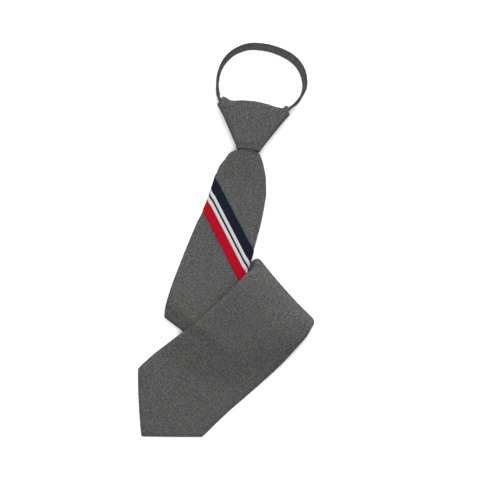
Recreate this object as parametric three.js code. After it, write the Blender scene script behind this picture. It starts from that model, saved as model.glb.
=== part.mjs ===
import * as THREE from "three";

// A ready-tied necktie that closes with a zip, lying on a table with its blade folded up.
// The blade leaves the knot, turns under itself to the right, then turns back over to the lower left.
// Lengths are millimetres and angles degrees. A heading is measured from +X towards +Y, seen from above.
// While the pieces are made, the middle of the knot's mouth is the origin and the table is z = 0.

// Room left between neighbouring pieces
const FIT_GAP = 0.3;

// Blade: a flat padded tube of wool, whose width is measured at the corners of its pointed end
const BLADE_WIDTH = 80;
const BLADE_THICK = 3.2;
const LEG_1_LENGTH = 168.6;
const LEG_3_LENGTH = 175.1;
const LEG_1_HEADING = -106;
const LEG_2_HEADING = 28.5;
const LEG_3_HEADING = -135;
const FOLD_1_HEADING = -37.1;
const FOLD_2_HEADING = -48.1;
const FOLD_ROOM = 1.7; // from leg 1's edge to the inside of the second fold
const DRAPE_RUN = 45; // how far the top leg takes to come down to the table

// Knot: a hollow funnel of cloth with two ears, through which the neck band comes
const KNOT_TILT = 8.3;
const KNOT_TOP_WIDTH = 63;
const KNOT_MOUTH_WIDTH = 20.8;
const KNOT_HEIGHT = 35.3; // up to the corners, below the ears
const KNOT_WALL = 1.8;
const KNOT_ARCH = 2; // rise of the mouth's front edge
const NECK_THICK = 6; // the blade's gathered end, where the knot holds it
const NECK_GRIP = 12; // length of that end inside the knot

// Neck band: a narrow strap standing on its edge in the loop, and lying flat in the tail
const BAND_WIDTH = 8;
const BAND_THICK = 2.2;
const BAND_ROOM = 2; // over the band, inside the knot
const LOOP_WIDTH = 74;
const LOOP_HEIGHT = 50; // above the knot's ears

// Zip: hidden behind the knot and the blade, so it is one plain piece
const CHAIN_WIDTH = 3;
const CHAIN_THICK = 1.6;
const SLIDER_WIDTH = 9;
const SLIDER_LENGTH = 10.5;
const SLIDER_THICK = 4.4;
const TAB_LENGTH = 8;
const TAIL_ROOM = 8; // from the tail's tab to the blade's second leg

// Ribbon: a woven stripe sewn slantwise across leg 1 and turned round its edges
const RIBBON_THICK = 0.4;
const RIBBON_SLANT = 46.8; // away from square across the blade
const RIBBON_FROM_KNOT = 67.2; // along the blade's middle, from the mouth
const RIBBON_WRAP = 7; // turned onto the back
const RIBBON_NAVY = 7.6;
const RIBBON_WHITE = 2.4;
const RIBBON_PIN = 1.2;
const RIBBON_RED = 7.6;

const FINISH = {
  wool: { color: 0x5b5c59, roughness: 0.95, metalness: 0 },
  band: { color: 0x4b4c4a, roughness: 0.95, metalness: 0 },
  navy: { color: 0x20283a, roughness: 0.7, metalness: 0 },
  white: { color: 0xd6d6d4, roughness: 0.7, metalness: 0 },
  red: { color: 0xb00f24, roughness: 0.7, metalness: 0 },
  zip: { color: 0x3d3e40, roughness: 0.5, metalness: 0.3 },
};

// The blade's edges along leg 1. along is a share of the leg from the mouth, left and right are shares of
// half the blade's width, and puff is the share of the gathered neck's extra thickness that is left.
const LEG_1_ROWS = [
  { along: 0.035, left: 0.348, right: 0.374, puff: 0.75 },
  { along: 0.071, left: 0.406, right: 0.455, puff: 0.4 },
  { along: 0.122, left: 0.481, right: 0.551, puff: 0 },
  { along: 0.183, left: 0.517, right: 0.639, puff: 0 },
  { along: 0.243, left: 0.53, right: 0.675, puff: 0 },
  { along: 0.335, left: 0.564, right: 0.701, puff: 0 },
  { along: 0.431, left: 0.618, right: 0.714, puff: 0 },
  { along: 0.532, left: 0.671, right: 0.714, puff: 0 },
];

// Between the last of those rows and the first fold, where the sections turn to lie along the fold
const LEG_1_TURN_ROWS = [
  { turned: 0.35, left: 0.724, right: 0.705 },
  { turned: 0.7, left: 0.765, right: 0.79 },
];

// The blade's edges along leg 3, as shares of its length from the second fold and of half its width.
// The last row but one is the corners of the pointed end, and the last is the point.
const LEG_3_ROWS = [
  { along: 0.083, left: 0.876, right: 1.004 },
  { along: 0.176, left: 0.876, right: 1.038 },
  { along: 0.264, left: 0.863, right: 1.051 },
  { along: 0.342, left: 0.895, right: 1.043 },
  { along: 0.425, left: 0.915, right: 1.026 },
  { along: 0.488, left: 0.953, right: 1.009 },
  { along: 0.596, left: 1.009, right: 0.976 },
  { along: 0.674, left: 1.038, right: 0.962 },
  { along: 0.79, left: 1.04, right: 0.949 },
  { along: 1, left: 0.02, right: 0.02 },
];

// How far each fold reaches to either side of the leg's middle, where it begins and at its crest,
// as shares of half the blade's width
const FOLD_REACH = {
  first: { left: 0.86, right: 0.9, crestLeft: 0.78, crestRight: 0.825 },
  second: { left: 0.9, right: 0.95, crestLeft: 0.915, crestRight: 0.885 },
};

// The blade's section from its left edge over the front to the right edge, and back underneath.
// at runs from the left edge (-1) to the right (1); inset and rise are shares of half the thickness.
const BLADE_SECTION = [
  { at: -1, inset: 0, rise: 0 },
  { at: -1, inset: 0.3, rise: 0.7 },
  { at: -1, inset: 1.1, rise: 1 },
  { at: -0.4, inset: 0, rise: 1 },
  { at: 0.4, inset: 0, rise: 1 },
  { at: 1, inset: 1.1, rise: 1 },
  { at: 1, inset: 0.3, rise: 0.7 },
  { at: 1, inset: 0, rise: 0 },
  { at: 1, inset: 0.3, rise: -0.7 },
  { at: 1, inset: 1.1, rise: -1 },
  { at: 0.4, inset: 0, rise: -1 },
  { at: -0.4, inset: 0, rise: -1 },
  { at: -1, inset: 1.1, rise: -1 },
  { at: -1, inset: 0.3, rise: -0.7 },
];

// The way the ribbon takes round one edge of the blade, from the back to the front. inset and rise are as
// in the blade's section, wrap is the share of RIBBON_WRAP, and out and up point away from the blade.
const RIBBON_EDGE = [
  { wrap: 1, inset: 0, rise: -1, out: 0, up: -1 },
  { wrap: 0, inset: 1.1, rise: -1, out: 0.1, up: -1 },
  { wrap: 0, inset: 0.3, rise: -0.7, out: 0.75, up: -0.75 },
  { wrap: 0, inset: 0, rise: 0, out: 1, up: 0 },
  { wrap: 0, inset: 0.3, rise: 0.7, out: 0.75, up: 0.75 },
  { wrap: 0, inset: 1.1, rise: 1, out: 0.1, up: 1 },
];

// The knot's outline, from the left side over the front to the right side, and back behind.
// across is a share of the half width, depth of the knot's depth, top of its height and arch of KNOT_ARCH.
const KNOT_SECTION = [
  { across: -1, depth: 0.5, top: 1, arch: 0 },
  { across: -1, depth: 0.8, top: 1, arch: 0 },
  { across: -0.93, depth: 0.95, top: 1.09, arch: 0.2 },
  { across: -0.87, depth: 1, top: 1.18, arch: 0.35 },
  { across: -0.65, depth: 1.04, top: 1.12, arch: 0.65 },
  { across: -0.33, depth: 1.08, top: 1.175, arch: 0.9 },
  { across: 0, depth: 1.1, top: 1.195, arch: 1 },
  { across: 0.33, depth: 1.08, top: 1.175, arch: 0.9 },
  { across: 0.65, depth: 1.04, top: 1.12, arch: 0.65 },
  { across: 0.87, depth: 1, top: 1.18, arch: 0.35 },
  { across: 0.93, depth: 0.95, top: 1.09, arch: 0.2 },
  { across: 1, depth: 0.8, top: 1, arch: 0 },
  { across: 1, depth: 0.5, top: 1, arch: 0 },
  { across: 1, depth: 0.15, top: 1, arch: 0 },
  { across: 0.9, depth: 0, top: 1, arch: 0 },
  { across: 0, depth: 0, top: 1, arch: 0 },
  { across: -0.9, depth: 0, top: 1, arch: 0 },
  { across: -1, depth: 0.15, top: 1, arch: 0 },
];

// How far up the knot each of its rings lies
const KNOT_RINGS = [0, 0.12, 0.35, 0.6, 0.82, 1];

// The loop, clockwise from the left ear, in the knot's own axes. across is a share of half LOOP_WIDTH and
// up of LOOP_HEIGHT. lean tips the strap's upper edge away from the loop, in degrees.
const LOOP_ROWS = [
  { across: -0.862, up: 0.098, lean: -9 },
  { across: -0.914, up: 0.308, lean: 2 },
  { across: -0.895, up: 0.51, lean: 4 },
  { across: -0.797, up: 0.692, lean: 15 },
  { across: -0.64, up: 0.836, lean: 22 },
  { across: -0.338, up: 0.966, lean: 32 },
  { across: -0.022, up: 1, lean: 37 },
  { across: 0.281, up: 0.984, lean: 38 },
  { across: 0.605, up: 0.918, lean: 43 },
  { across: 0.827, up: 0.824, lean: 38 },
  { across: 1, up: 0.668, lean: 29 },
  { across: 1.086, up: 0.468, lean: 15 },
  { across: 1.08, up: 0.362, lean: 8 },
  { across: 0.984, up: 0.164, lean: -5 },
];

// The strap's way through the knot, from an ear to the mouth. across is a share of half the knot's top
// width, up of its height, and narrow the share of the strap's narrowing towards the mouth.
const LEFT_STRAND_ROWS = [
  { across: 0.93, up: 1.11, lean: 10, narrow: 0 },
  { across: 0.74, up: 0.88, lean: 6, narrow: 0.3 },
  { across: 0.46, up: 0.56, lean: 50, narrow: 0.7 },
];
const RIGHT_STRAND_ROWS = [
  { across: 0.92, up: 1.11, lean: 10, narrow: 0 },
  { across: 0.72, up: 0.88, lean: 12, narrow: 0.3 },
  { across: 0.45, up: 0.56, lean: 50, narrow: 0.7 },
];

// The strap's section. wide and thick are shares of its half width and half thickness.
const BAND_SECTION = [
  { wide: 1, thick: 0.35 },
  { wide: 0.8, thick: 1 },
  { wide: -0.8, thick: 1 },
  { wide: -1, thick: 0.35 },
  { wide: -1, thick: -0.35 },
  { wide: -0.8, thick: -1 },
  { wide: 0.8, thick: -1 },
  { wide: 1, thick: -0.35 },
];

// Sizes that follow from the ones above
const halfBlade = BLADE_WIDTH / 2;
const halfThick = BLADE_THICK / 2;
const layerGap = FIT_GAP + RIBBON_THICK + FIT_GAP;
const legTwoMid = halfThick;
const legOneMid = legTwoMid + BLADE_THICK + layerGap;
const legThreeMid = legOneMid + BLADE_THICK + layerGap;
const strapFloor = KNOT_WALL + FIT_GAP;
const neckFloor = strapFloor + BAND_THICK + FIT_GAP;
const neckHalf = KNOT_MOUTH_WIDTH / 2 - KNOT_WALL - FIT_GAP;
const strandWidth = neckHalf - 2 * FIT_GAP - CHAIN_WIDTH / 2;
const mouthDepth = neckFloor + NECK_THICK + FIT_GAP + KNOT_WALL;
const topDepth = Math.max(mouthDepth, strapFloor + BAND_WIDTH + BAND_ROOM + KNOT_WALL);

const headingOf = (degrees) => {
  const angle = THREE.MathUtils.degToRad(degrees);
  return new THREE.Vector3(Math.cos(angle), Math.sin(angle), 0);
};
const UP = new THREE.Vector3(0, 0, 1);
const legAxis = headingOf(LEG_1_HEADING);
const legAcross = headingOf(LEG_1_HEADING + 90);
const knotUp = headingOf(90 - KNOT_TILT);
const knotAcross = headingOf(-KNOT_TILT);

// Points in the three frames that the pieces are laid out in
function knotPoint(across, up, z) {
  return new THREE.Vector3(0, 0, z).addScaledVector(knotAcross, across).addScaledVector(knotUp, up);
}
function legPoint(along, across, z) {
  return new THREE.Vector3(0, 0, z).addScaledVector(legAxis, along).addScaledVector(legAcross, across);
}

// Reads a table's column at a place along it, on straight lines between the rows
function columnAt(rows, column, along) {
  const after = rows.findIndex((row) => row.along >= along);
  if (after === 0) return rows[0][column];
  if (after < 0) return rows[rows.length - 1][column];
  const [a, b] = [rows[after - 1], rows[after]];
  return THREE.MathUtils.mapLinear(along, a.along, b.along, a[column], b[column]);
}

function meshOf(points, faces) {
  const geometry = new THREE.BufferGeometry().setFromPoints(points);
  geometry.setIndex(faces.flat());
  geometry.computeVertexNormals();
  return geometry;
}

// Faces of a band of quads between two rings of points, given by their first indices
function bridge(first, second, count) {
  const faces = [];
  for (let i = 0; i < count; i += 1) {
    const next = (i + 1) % count;
    faces.push([first + i, first + next, second + next], [first + i, second + next, second + i]);
  }
  return faces;
}

// A solid skinned over rings that run clockwise as seen from ahead, with flat ends
function skinned(rings) {
  const count = rings[0].length;
  const faces = [];
  for (let k = 1; k < rings.length; k += 1) faces.push(...bridge(k * count, (k - 1) * count, count));
  const last = (rings.length - 1) * count;
  for (let i = 1; i < count - 1; i += 1) faces.push([0, i, i + 1], [last, last + i + 1, last + i]);
  return meshOf(rings.flat(), faces);
}

// The two folds. crest is the middle of the line where the fold turns, as seen from above.
function foldAt({ crest, heading, outward, reach, rollRadius, rollMid, side }) {
  const crease = headingOf(heading);
  const out = headingOf(outward);
  const base = crest.clone().addScaledVector(out, -rollRadius - halfThick);
  const edge = (name, crestName, sign, bulge) => {
    const share = THREE.MathUtils.lerp(reach[name], reach[crestName], bulge);
    return base.clone().addScaledVector(crease, sign * share * halfBlade);
  };
  // side is 1 where the blade enters at the top of the roll, and -1 at the bottom
  return (turned) => {
    const angle = turned * Math.PI;
    const bulge = Math.sin(angle);
    const shift = out.clone().multiplyScalar(rollRadius * bulge);
    shift.z = rollMid + side * rollRadius * Math.cos(angle);
    const up = out.clone().multiplyScalar(bulge).addScaledVector(UP, side * Math.cos(angle));
    return {
      left: edge("left", "crestLeft", -1, bulge).add(shift),
      right: edge("right", "crestRight", 1, bulge).add(shift),
      up,
      thick: BLADE_THICK,
    };
  };
}

const firstCrest = legPoint(LEG_1_LENGTH, 0, 0);
const firstFold = foldAt({
  crest: firstCrest,
  heading: FOLD_1_HEADING,
  outward: FOLD_1_HEADING - 90,
  reach: FOLD_REACH.first,
  rollRadius: (legOneMid - legTwoMid) / 2,
  rollMid: (legOneMid + legTwoMid) / 2,
  side: 1,
});

// The second fold wraps leg 1's right edge, so its place follows from that edge
const foldTwoOut = FOLD_2_HEADING + 90;
const widestRight = Math.max(...LEG_1_ROWS.map((row) => row.right)) * halfBlade;
const creaseAcross = headingOf(FOLD_2_HEADING).dot(legAcross);
const wallAcross = headingOf(foldTwoOut).dot(legAcross);
const crestFromAxis =
  widestRight +
  FIT_GAP +
  RIBBON_THICK +
  FOLD_ROOM +
  BLADE_THICK * wallAcross +
  FOLD_REACH.second.crestLeft * halfBlade * creaseAcross;
const legTwoAxis = headingOf(LEG_2_HEADING);
const legTwoLength = crestFromAxis / legTwoAxis.dot(legAcross);
const secondCrest = firstCrest.clone().addScaledVector(legTwoAxis, legTwoLength);
const secondFold = foldAt({
  crest: secondCrest,
  heading: FOLD_2_HEADING,
  outward: foldTwoOut,
  reach: FOLD_REACH.second,
  rollRadius: (legThreeMid - legTwoMid) / 2,
  rollMid: (legThreeMid + legTwoMid) / 2,
  side: -1,
});

// Leg 3's height: over the other legs it lies on them, and beyond their edges it comes down to the table
const lowerEdge = {
  from: firstFold(0.5).right.clone().setZ(0),
  to: secondFold(0.5).right.clone().setZ(0),
};
function legThreeHeight(point) {
  const beyondFold = point.clone().sub(firstCrest).dot(headingOf(FOLD_1_HEADING - 90));
  const edgeWay = lowerEdge.to.clone().sub(lowerEdge.from).normalize();
  const edgeOut = edgeWay.clone().cross(UP);
  const beyondEdge = point.clone().sub(lowerEdge.from).dot(edgeOut);
  const beyond = Math.hypot(Math.max(beyondFold, 0), Math.max(beyondEdge, 0));
  const down = THREE.MathUtils.smoothstep(beyond, 0, DRAPE_RUN);
  return THREE.MathUtils.lerp(legThreeMid, legTwoMid, down);
}

// Where the blade's thickness and height are along leg 1
function legOneThick(along) {
  const puff = columnAt(LEG_1_ROWS, "puff", along / LEG_1_LENGTH);
  return BLADE_THICK + (NECK_THICK - BLADE_THICK) * puff;
}
function legOneFloor(along) {
  const puff = columnAt(LEG_1_ROWS, "puff", along / LEG_1_LENGTH);
  return THREE.MathUtils.lerp(legOneMid - halfThick, neckFloor, puff);
}

// The blade's sections from the neck in the knot to the point, each with its two edges in mid-thickness
function neckSections() {
  const rows = [
    { up: NECK_GRIP, half: 0.9 },
    { up: -FIT_GAP, half: 1 },
    { up: -FIT_GAP - KNOT_WALL * 0.6, half: (neckHalf + KNOT_WALL) / neckHalf },
  ];
  const mid = neckFloor + NECK_THICK / 2;
  return rows.map(({ up, half }) => ({
    left: knotPoint(-neckHalf * half, up, mid),
    right: knotPoint(neckHalf * half, up, mid),
    up: UP,
    thick: NECK_THICK,
  }));
}

function legOneSections() {
  const squareOn = LEG_1_ROWS.map(({ along, left, right }) => {
    const place = along * LEG_1_LENGTH;
    const thick = legOneThick(place);
    const mid = legOneFloor(place) + thick / 2;
    return {
      left: legPoint(place, -left * halfBlade, mid),
      right: legPoint(place, right * halfBlade, mid),
      up: UP,
      thick,
    };
  });
  const lastSquare = LEG_1_ROWS[LEG_1_ROWS.length - 1].along * LEG_1_LENGTH;
  const entry = firstFold(0);
  const turning = LEG_1_TURN_ROWS.map(({ turned, left, right }) => {
    const leftEnd = THREE.MathUtils.lerp(lastSquare, entry.left.dot(legAxis), turned);
    const rightEnd = THREE.MathUtils.lerp(lastSquare, entry.right.dot(legAxis), turned);
    return {
      left: legPoint(leftEnd, -left * halfBlade, legOneMid),
      right: legPoint(rightEnd, right * halfBlade, legOneMid),
      up: UP,
      thick: BLADE_THICK,
    };
  });
  return [...squareOn, ...turning];
}

function foldSections(fold) {
  const steps = 8;
  return Array.from({ length: steps + 1 }, (_, i) => fold(i / steps));
}

function legTwoSections() {
  const [start, end] = [firstFold(1), secondFold(0)];
  return [0.35, 0.7].map((share) => ({
    left: start.left.clone().lerp(end.left, share),
    right: start.right.clone().lerp(end.right, share),
    up: start.up,
    thick: BLADE_THICK,
  }));
}

function legThreeSections() {
  const axis = headingOf(LEG_3_HEADING);
  const across = headingOf(LEG_3_HEADING + 90);
  const point = (along, offset) =>
    secondCrest.clone().addScaledVector(axis, along * LEG_3_LENGTH).addScaledVector(across, offset * halfBlade);
  return LEG_3_ROWS.map(({ along, left, right }) => ({
    left: point(along, -left),
    right: point(along, right),
    up: UP,
    thick: along < 1 ? BLADE_THICK : BLADE_THICK / 2,
    height: legThreeHeight,
  }));
}

function bladeRing({ left, right, up, thick, height }) {
  const width = left.distanceTo(right);
  return BLADE_SECTION.map(({ at, inset, rise }) => {
    const room = Math.min((inset * thick) / 2 / width, 0.45);
    const share = 0.5 + at / 2 - Math.sign(at) * room;
    const point = left.clone().lerp(right, share);
    if (height) point.z += height(point) + (thick - BLADE_THICK) / 2;
    return point.addScaledVector(up, (rise * thick) / 2);
  });
}

function bladeGeometry() {
  const sections = [
    ...neckSections(),
    ...legOneSections(),
    ...foldSections(firstFold),
    ...legTwoSections(),
    ...foldSections(secondFold),
    ...legThreeSections(),
  ];
  return skinned(sections.map(bladeRing));
}

// Leg 1's half width at a place along it: side is -1 for the left edge and 1 for the right
function legOneEdge(side, along) {
  const ends = [...legOneSections(), firstFold(0)].map(({ left, right }) => {
    const end = side < 0 ? left : right;
    return { along: end.dot(legAxis), offset: Math.abs(end.dot(legAcross)) };
  });
  return columnAt(ends, "offset", along);
}

// One line of the ribbon, from the back of the left edge over the front to the back of the right edge,
// raised by lift from the blade. crossing is where the line meets the blade's middle.
function ribbonLine(crossing, lift) {
  const slope = Math.tan(THREE.MathUtils.degToRad(RIBBON_SLANT));
  const halfLine = (side) => {
    let edge = legOneEdge(side, crossing);
    for (let i = 0; i < 8; i += 1) edge = legOneEdge(side, crossing + side * edge * slope);
    return RIBBON_EDGE.map(({ wrap, inset, rise, out, up }) => {
      const half = legOneThick(crossing + side * edge * slope) / 2;
      const inward = wrap * RIBBON_WRAP + inset * half;
      const travel = rise < 0 ? edge + inward : edge - inward;
      const along = crossing + side * travel * slope;
      const across = legOneEdge(side, along) - inward + out * lift;
      const mid = legOneFloor(along) + half;
      return legPoint(along, side * across, mid + rise * half + up * lift);
    });
  };
  const middle = legPoint(crossing, 0, legOneFloor(crossing) + legOneThick(crossing) + lift);
  return [...halfLine(-1), middle, ...halfLine(1).reverse()];
}

// A stripe of the ribbon between two distances from the ribbon's middle
function stripeGeometry(from, to) {
  const stretch = Math.cos(THREE.MathUtils.degToRad(RIBBON_SLANT));
  const [near, far] = [from, to].map((offset) => RIBBON_FROM_KNOT + offset / stretch);
  const lines = [
    ribbonLine(far, FIT_GAP),
    ribbonLine(far, FIT_GAP + RIBBON_THICK),
    ribbonLine(near, FIT_GAP + RIBBON_THICK),
    ribbonLine(near, FIT_GAP),
  ];
  return skinned(lines[0].map((_, i) => lines.map((line) => line[i])));
}

// The knot's wall: an outer and an inner skin joined by a rim at the mouth and at the ears
function knotGeometry() {
  const ring = (share, wall) =>
    KNOT_SECTION.map(({ across, depth, top, arch }) => {
      const up = THREE.MathUtils.lerp(arch * KNOT_ARCH, top * KNOT_HEIGHT, share);
      const grown = THREE.MathUtils.clamp(up / KNOT_HEIGHT, 0, 1);
      const half = THREE.MathUtils.lerp(KNOT_MOUTH_WIDTH, KNOT_TOP_WIDTH, grown) / 2 - wall;
      const deep = THREE.MathUtils.lerp(mouthDepth, topDepth, grown) - 2 * wall;
      return knotPoint(across * half, up, wall + depth * deep);
    });
  const count = KNOT_SECTION.length;
  const outer = KNOT_RINGS.map((share) => ring(share, 0));
  const inner = KNOT_RINGS.map((share) => ring(share, KNOT_WALL)).reverse();
  const rings = [...outer, ...inner];
  const faces = rings.flatMap((_, k) => bridge(k * count, ((k + 1) % rings.length) * count, count));
  return meshOf(rings.flat(), faces);
}

// How far the tail reaches: up to TAIL_ROOM short of leg 2's upper edge
function tailReach() {
  const from = firstFold(1).left;
  const to = secondFold(0).left;
  const [a, b] = [from, to].map((p) => ({ along: p.dot(legAxis), across: p.dot(legAcross) }));
  const crossing = THREE.MathUtils.mapLinear(neckHalf, a.across, b.across, a.along, b.along);
  return crossing - TAIL_ROOM;
}

// The strap's stations, from the left strand's end in the tail, round the loop, to the right strand's end.
// base is how high its lowest edge lies, and wide its width there.
function strapStations() {
  const strandMid = CHAIN_WIDTH / 2 + 2 * FIT_GAP + strandWidth / 2;
  const strandEnd = tailReach() - TAB_LENGTH - FIT_GAP;
  const tail = [strandEnd, strandEnd / 2, NECK_GRIP, NECK_GRIP / 3];
  const tailRows = (side) =>
    tail.map((along) => ({
      point: legPoint(along, side * strandMid, 0),
      lean: 90,
      base: 0,
      wide: strandWidth,
    }));
  const mouthRows = (side) =>
    [
      { across: strandMid, up: 0 },
      { across: strandMid + BAND_WIDTH / 2, up: NECK_GRIP + BAND_THICK },
    ].map(({ across, up }) => ({
      point: knotPoint(side * across, up, 0),
      lean: 90,
      base: strapFloor,
      wide: strandWidth,
    }));
  const earRows = (side, rows) =>
    rows.map(({ across, up, lean, narrow }) => ({
      point: knotPoint((side * across * KNOT_TOP_WIDTH) / 2, up * KNOT_HEIGHT, 0),
      lean,
      base: strapFloor,
      wide: THREE.MathUtils.lerp(BAND_WIDTH, strandWidth, narrow),
    }));
  const loopFoot = knotPoint(0, KNOT_HEIGHT * 1.11, 0);
  const loopRows = LOOP_ROWS.map(({ across, up, lean }) => ({
    point: loopFoot
      .clone()
      .addScaledVector(knotAcross, (across * LOOP_WIDTH) / 2)
      .addScaledVector(knotUp, up * LOOP_HEIGHT),
    lean,
    base: 0,
    wide: BAND_WIDTH,
  }));
  return [
    ...tailRows(-1),
    ...mouthRows(-1),
    ...earRows(-1, LEFT_STRAND_ROWS).reverse(),
    ...loopRows,
    ...earRows(1, RIGHT_STRAND_ROWS),
    ...mouthRows(1).reverse(),
    ...tailRows(1).reverse(),
  ];
}

function strapGeometry() {
  const stations = strapStations();
  const curve = new THREE.CatmullRomCurve3(stations.map(({ point }) => point));
  const perSpan = 3;
  const steps = (stations.length - 1) * perSpan;
  const rings = Array.from({ length: steps + 1 }, (_, i) => {
    const share = i / steps;
    const index = Math.min(Math.floor(i / perSpan), stations.length - 2);
    const [a, b] = [stations[index], stations[index + 1]];
    const between = (name) => THREE.MathUtils.lerp(a[name], b[name], i / perSpan - index);
    const lean = THREE.MathUtils.degToRad(between("lean"));
    const outward = UP.clone().cross(curve.getTangent(share));
    const wideWay = outward.clone().multiplyScalar(Math.sin(lean)).addScaledVector(UP, Math.cos(lean));
    const thickWay = outward.clone().multiplyScalar(Math.cos(lean)).addScaledVector(UP, -Math.sin(lean));
    const halfWide = between("wide") / 2;
    const low = Math.abs(Math.cos(lean)) * halfWide + (Math.abs(Math.sin(lean)) * BAND_THICK) / 2;
    const middle = curve.getPoint(share).setZ(between("base") + low);
    return BAND_SECTION.map(({ wide, thick }) =>
      middle
        .clone()
        .addScaledVector(wideWay, wide * halfWide)
        .addScaledVector(thickWay, (thick * BAND_THICK) / 2),
    );
  });
  return skinned(rings);
}

// The zip from its slider in the knot, down the chain between the strands, to the tab that ends the tail
function zipGeometry() {
  const sliderFoot = NECK_GRIP + 2 * FIT_GAP;
  const tabStart = tailReach() - TAB_LENGTH;
  const knotRows = [
    { up: sliderFoot + SLIDER_LENGTH, width: SLIDER_WIDTH * 0.8, thick: SLIDER_THICK },
    { up: sliderFoot, width: SLIDER_WIDTH, thick: SLIDER_THICK },
    { up: sliderFoot - FIT_GAP, width: CHAIN_WIDTH, thick: CHAIN_THICK },
    { up: 0, width: CHAIN_WIDTH, thick: CHAIN_THICK },
  ];
  const tailRows = [
    { along: NECK_GRIP / 3, width: CHAIN_WIDTH, thick: CHAIN_THICK },
    { along: tabStart - FIT_GAP, width: CHAIN_WIDTH, thick: CHAIN_THICK },
    { along: tabStart, width: 2 * neckHalf, thick: BAND_THICK },
    { along: tabStart + TAB_LENGTH * 0.8, width: 2 * neckHalf, thick: BAND_THICK },
    { along: tabStart + TAB_LENGTH, width: 1.6 * neckHalf, thick: BAND_THICK },
  ];
  const ring = (place, width, thick, low) =>
    [
      [-1, 0],
      [-1, 1],
      [1, 1],
      [1, 0],
    ].map(([side, top]) => place((side * width) / 2, low + top * thick));
  return skinned([
    ...knotRows.map(({ up, width, thick }) => ring((x, z) => knotPoint(x, up, z), width, thick, strapFloor)),
    ...tailRows.map(({ along, width, thick }) => ring((x, z) => legPoint(along, x, z), width, thick, 0)),
  ]);
}

// The ribbon's stripes in their order from the knot, with a gap between neighbours
const STRIPES = [
  { name: "ribbon_navy", width: RIBBON_NAVY, finish: "navy" },
  { name: "ribbon_white_upper", width: RIBBON_WHITE, finish: "white" },
  { name: "ribbon_pin_line", width: RIBBON_PIN, finish: "navy" },
  { name: "ribbon_white_lower", width: RIBBON_WHITE, finish: "white" },
  { name: "ribbon_red", width: RIBBON_RED, finish: "red" },
];

const tie = new THREE.Group();
tie.name = "zipper_tie";

function addPiece(name, geometry, finish) {
  const mesh = new THREE.Mesh(geometry, new THREE.MeshStandardMaterial(FINISH[finish]));
  mesh.name = name;
  tie.add(mesh);
}

addPiece("knot_cover", knotGeometry(), "wool");
addPiece("blade", bladeGeometry(), "wool");
addPiece("neck_band", strapGeometry(), "band");
addPiece("zip_closure", zipGeometry(), "zip");

const ribbonWidth =
  STRIPES.reduce((sum, { width }) => sum + width, 0) + (STRIPES.length - 1) * FIT_GAP;
let stripeStart = -ribbonWidth / 2;
for (const { name, width, finish } of STRIPES) {
  addPiece(name, stripeGeometry(stripeStart, stripeStart + width), finish);
  stripeStart += width + FIT_GAP;
}

// The finished part stands on z = 0 with the middle of its outline at the origin
const box = new THREE.Box3().setFromObject(tie);
const middle = box.getCenter(new THREE.Vector3());
tie.position.set(-middle.x, -middle.y, -box.min.z);

export default tie;
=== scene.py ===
from math import ceil, cos, hypot, pi, radians, sin, tan

import bpy
import numpy as np
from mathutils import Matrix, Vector, noise


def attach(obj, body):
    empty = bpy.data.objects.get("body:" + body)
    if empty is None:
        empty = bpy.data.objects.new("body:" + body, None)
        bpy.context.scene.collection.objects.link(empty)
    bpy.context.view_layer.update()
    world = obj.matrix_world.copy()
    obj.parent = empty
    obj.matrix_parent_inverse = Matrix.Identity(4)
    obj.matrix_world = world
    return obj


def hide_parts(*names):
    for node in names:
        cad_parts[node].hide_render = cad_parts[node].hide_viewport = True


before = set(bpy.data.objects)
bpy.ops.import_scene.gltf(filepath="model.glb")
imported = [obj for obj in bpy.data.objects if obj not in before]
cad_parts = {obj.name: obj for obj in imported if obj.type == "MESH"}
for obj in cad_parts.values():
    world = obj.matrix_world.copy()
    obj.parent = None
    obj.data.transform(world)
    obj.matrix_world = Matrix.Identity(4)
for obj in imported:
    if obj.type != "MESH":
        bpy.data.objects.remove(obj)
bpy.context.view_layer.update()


# Blade
# The wide front blade, a strip of grey heather wool cut on the bias and folded round a soft interlining.
# Its edges are rolled, not pressed, and its raw sides overlap in a slip-stitched seam down the back.
# It comes out of the knot, turns under itself to the right, and turns back over to end lower left.
UP = np.array([0.0, 0.0, 1.0])
MOUTH = np.array([0.0201615, 0.076324, 0.0])  # middle of the knot's mouth, from the part's origin
FIT_GAP = 0.0003
BLADE_WIDTH = 0.080
BLADE_THICK = 0.0032
LEG_1_LENGTH = 0.1686
LEG_3_LENGTH = 0.1751
LEG_1_HEADING = -106
LEG_2_HEADING = 28.5
LEG_3_HEADING = -135
FOLD_1_HEADING = -37.1
FOLD_2_HEADING = -48.1
FOLD_ROOM = 0.0017
FOLD_2_CORNER = 0.915  # how far along fold 2's crest its left corner lies, as a share of half the width
DRAPE_RUN = 0.043  # how far leg 3 takes to come down to the table, beyond fold 1 and beyond leg 2
DRAPE_SIDE_RUN = 0.060
DRAPE_LEAD = 0.013  # how far short of those edges it starts to come down
DRAPE_SIDE_LEAD = 0.013
SPRING_1 = 0.0034  # how far the springy padding holds each fold up, behind its crest
SPRING_2 = 0.0062
SPRING_2_RUN = 0.026
SPRING_1_START = 0.002  # where it starts to rise behind fold 1, and how far it takes to rise
SPRING_1_RUN = 0.013
SPRING_1_END = 0.016  # where it starts to sink again along leg 1, and how far it takes to sink
SPRING_1_FADE = 0.054
SPRING_SIDE_LEAD = 0.004  # the same to the side, on leg 1 and on leg 3 above it
SPRING_1_SIDE = 0.022
SPRING_1_SIDE_ABOVE = 0.06
KNOT_TILT = 8.3
KNOT_WALL = 0.0018
KNOT_MOUTH_WIDTH = 0.0208
NECK_THICK = 0.006
NECK_GRIP = 0.012
BAND_THICK = 0.0022
RIBBON_THICK = 0.0004

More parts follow.
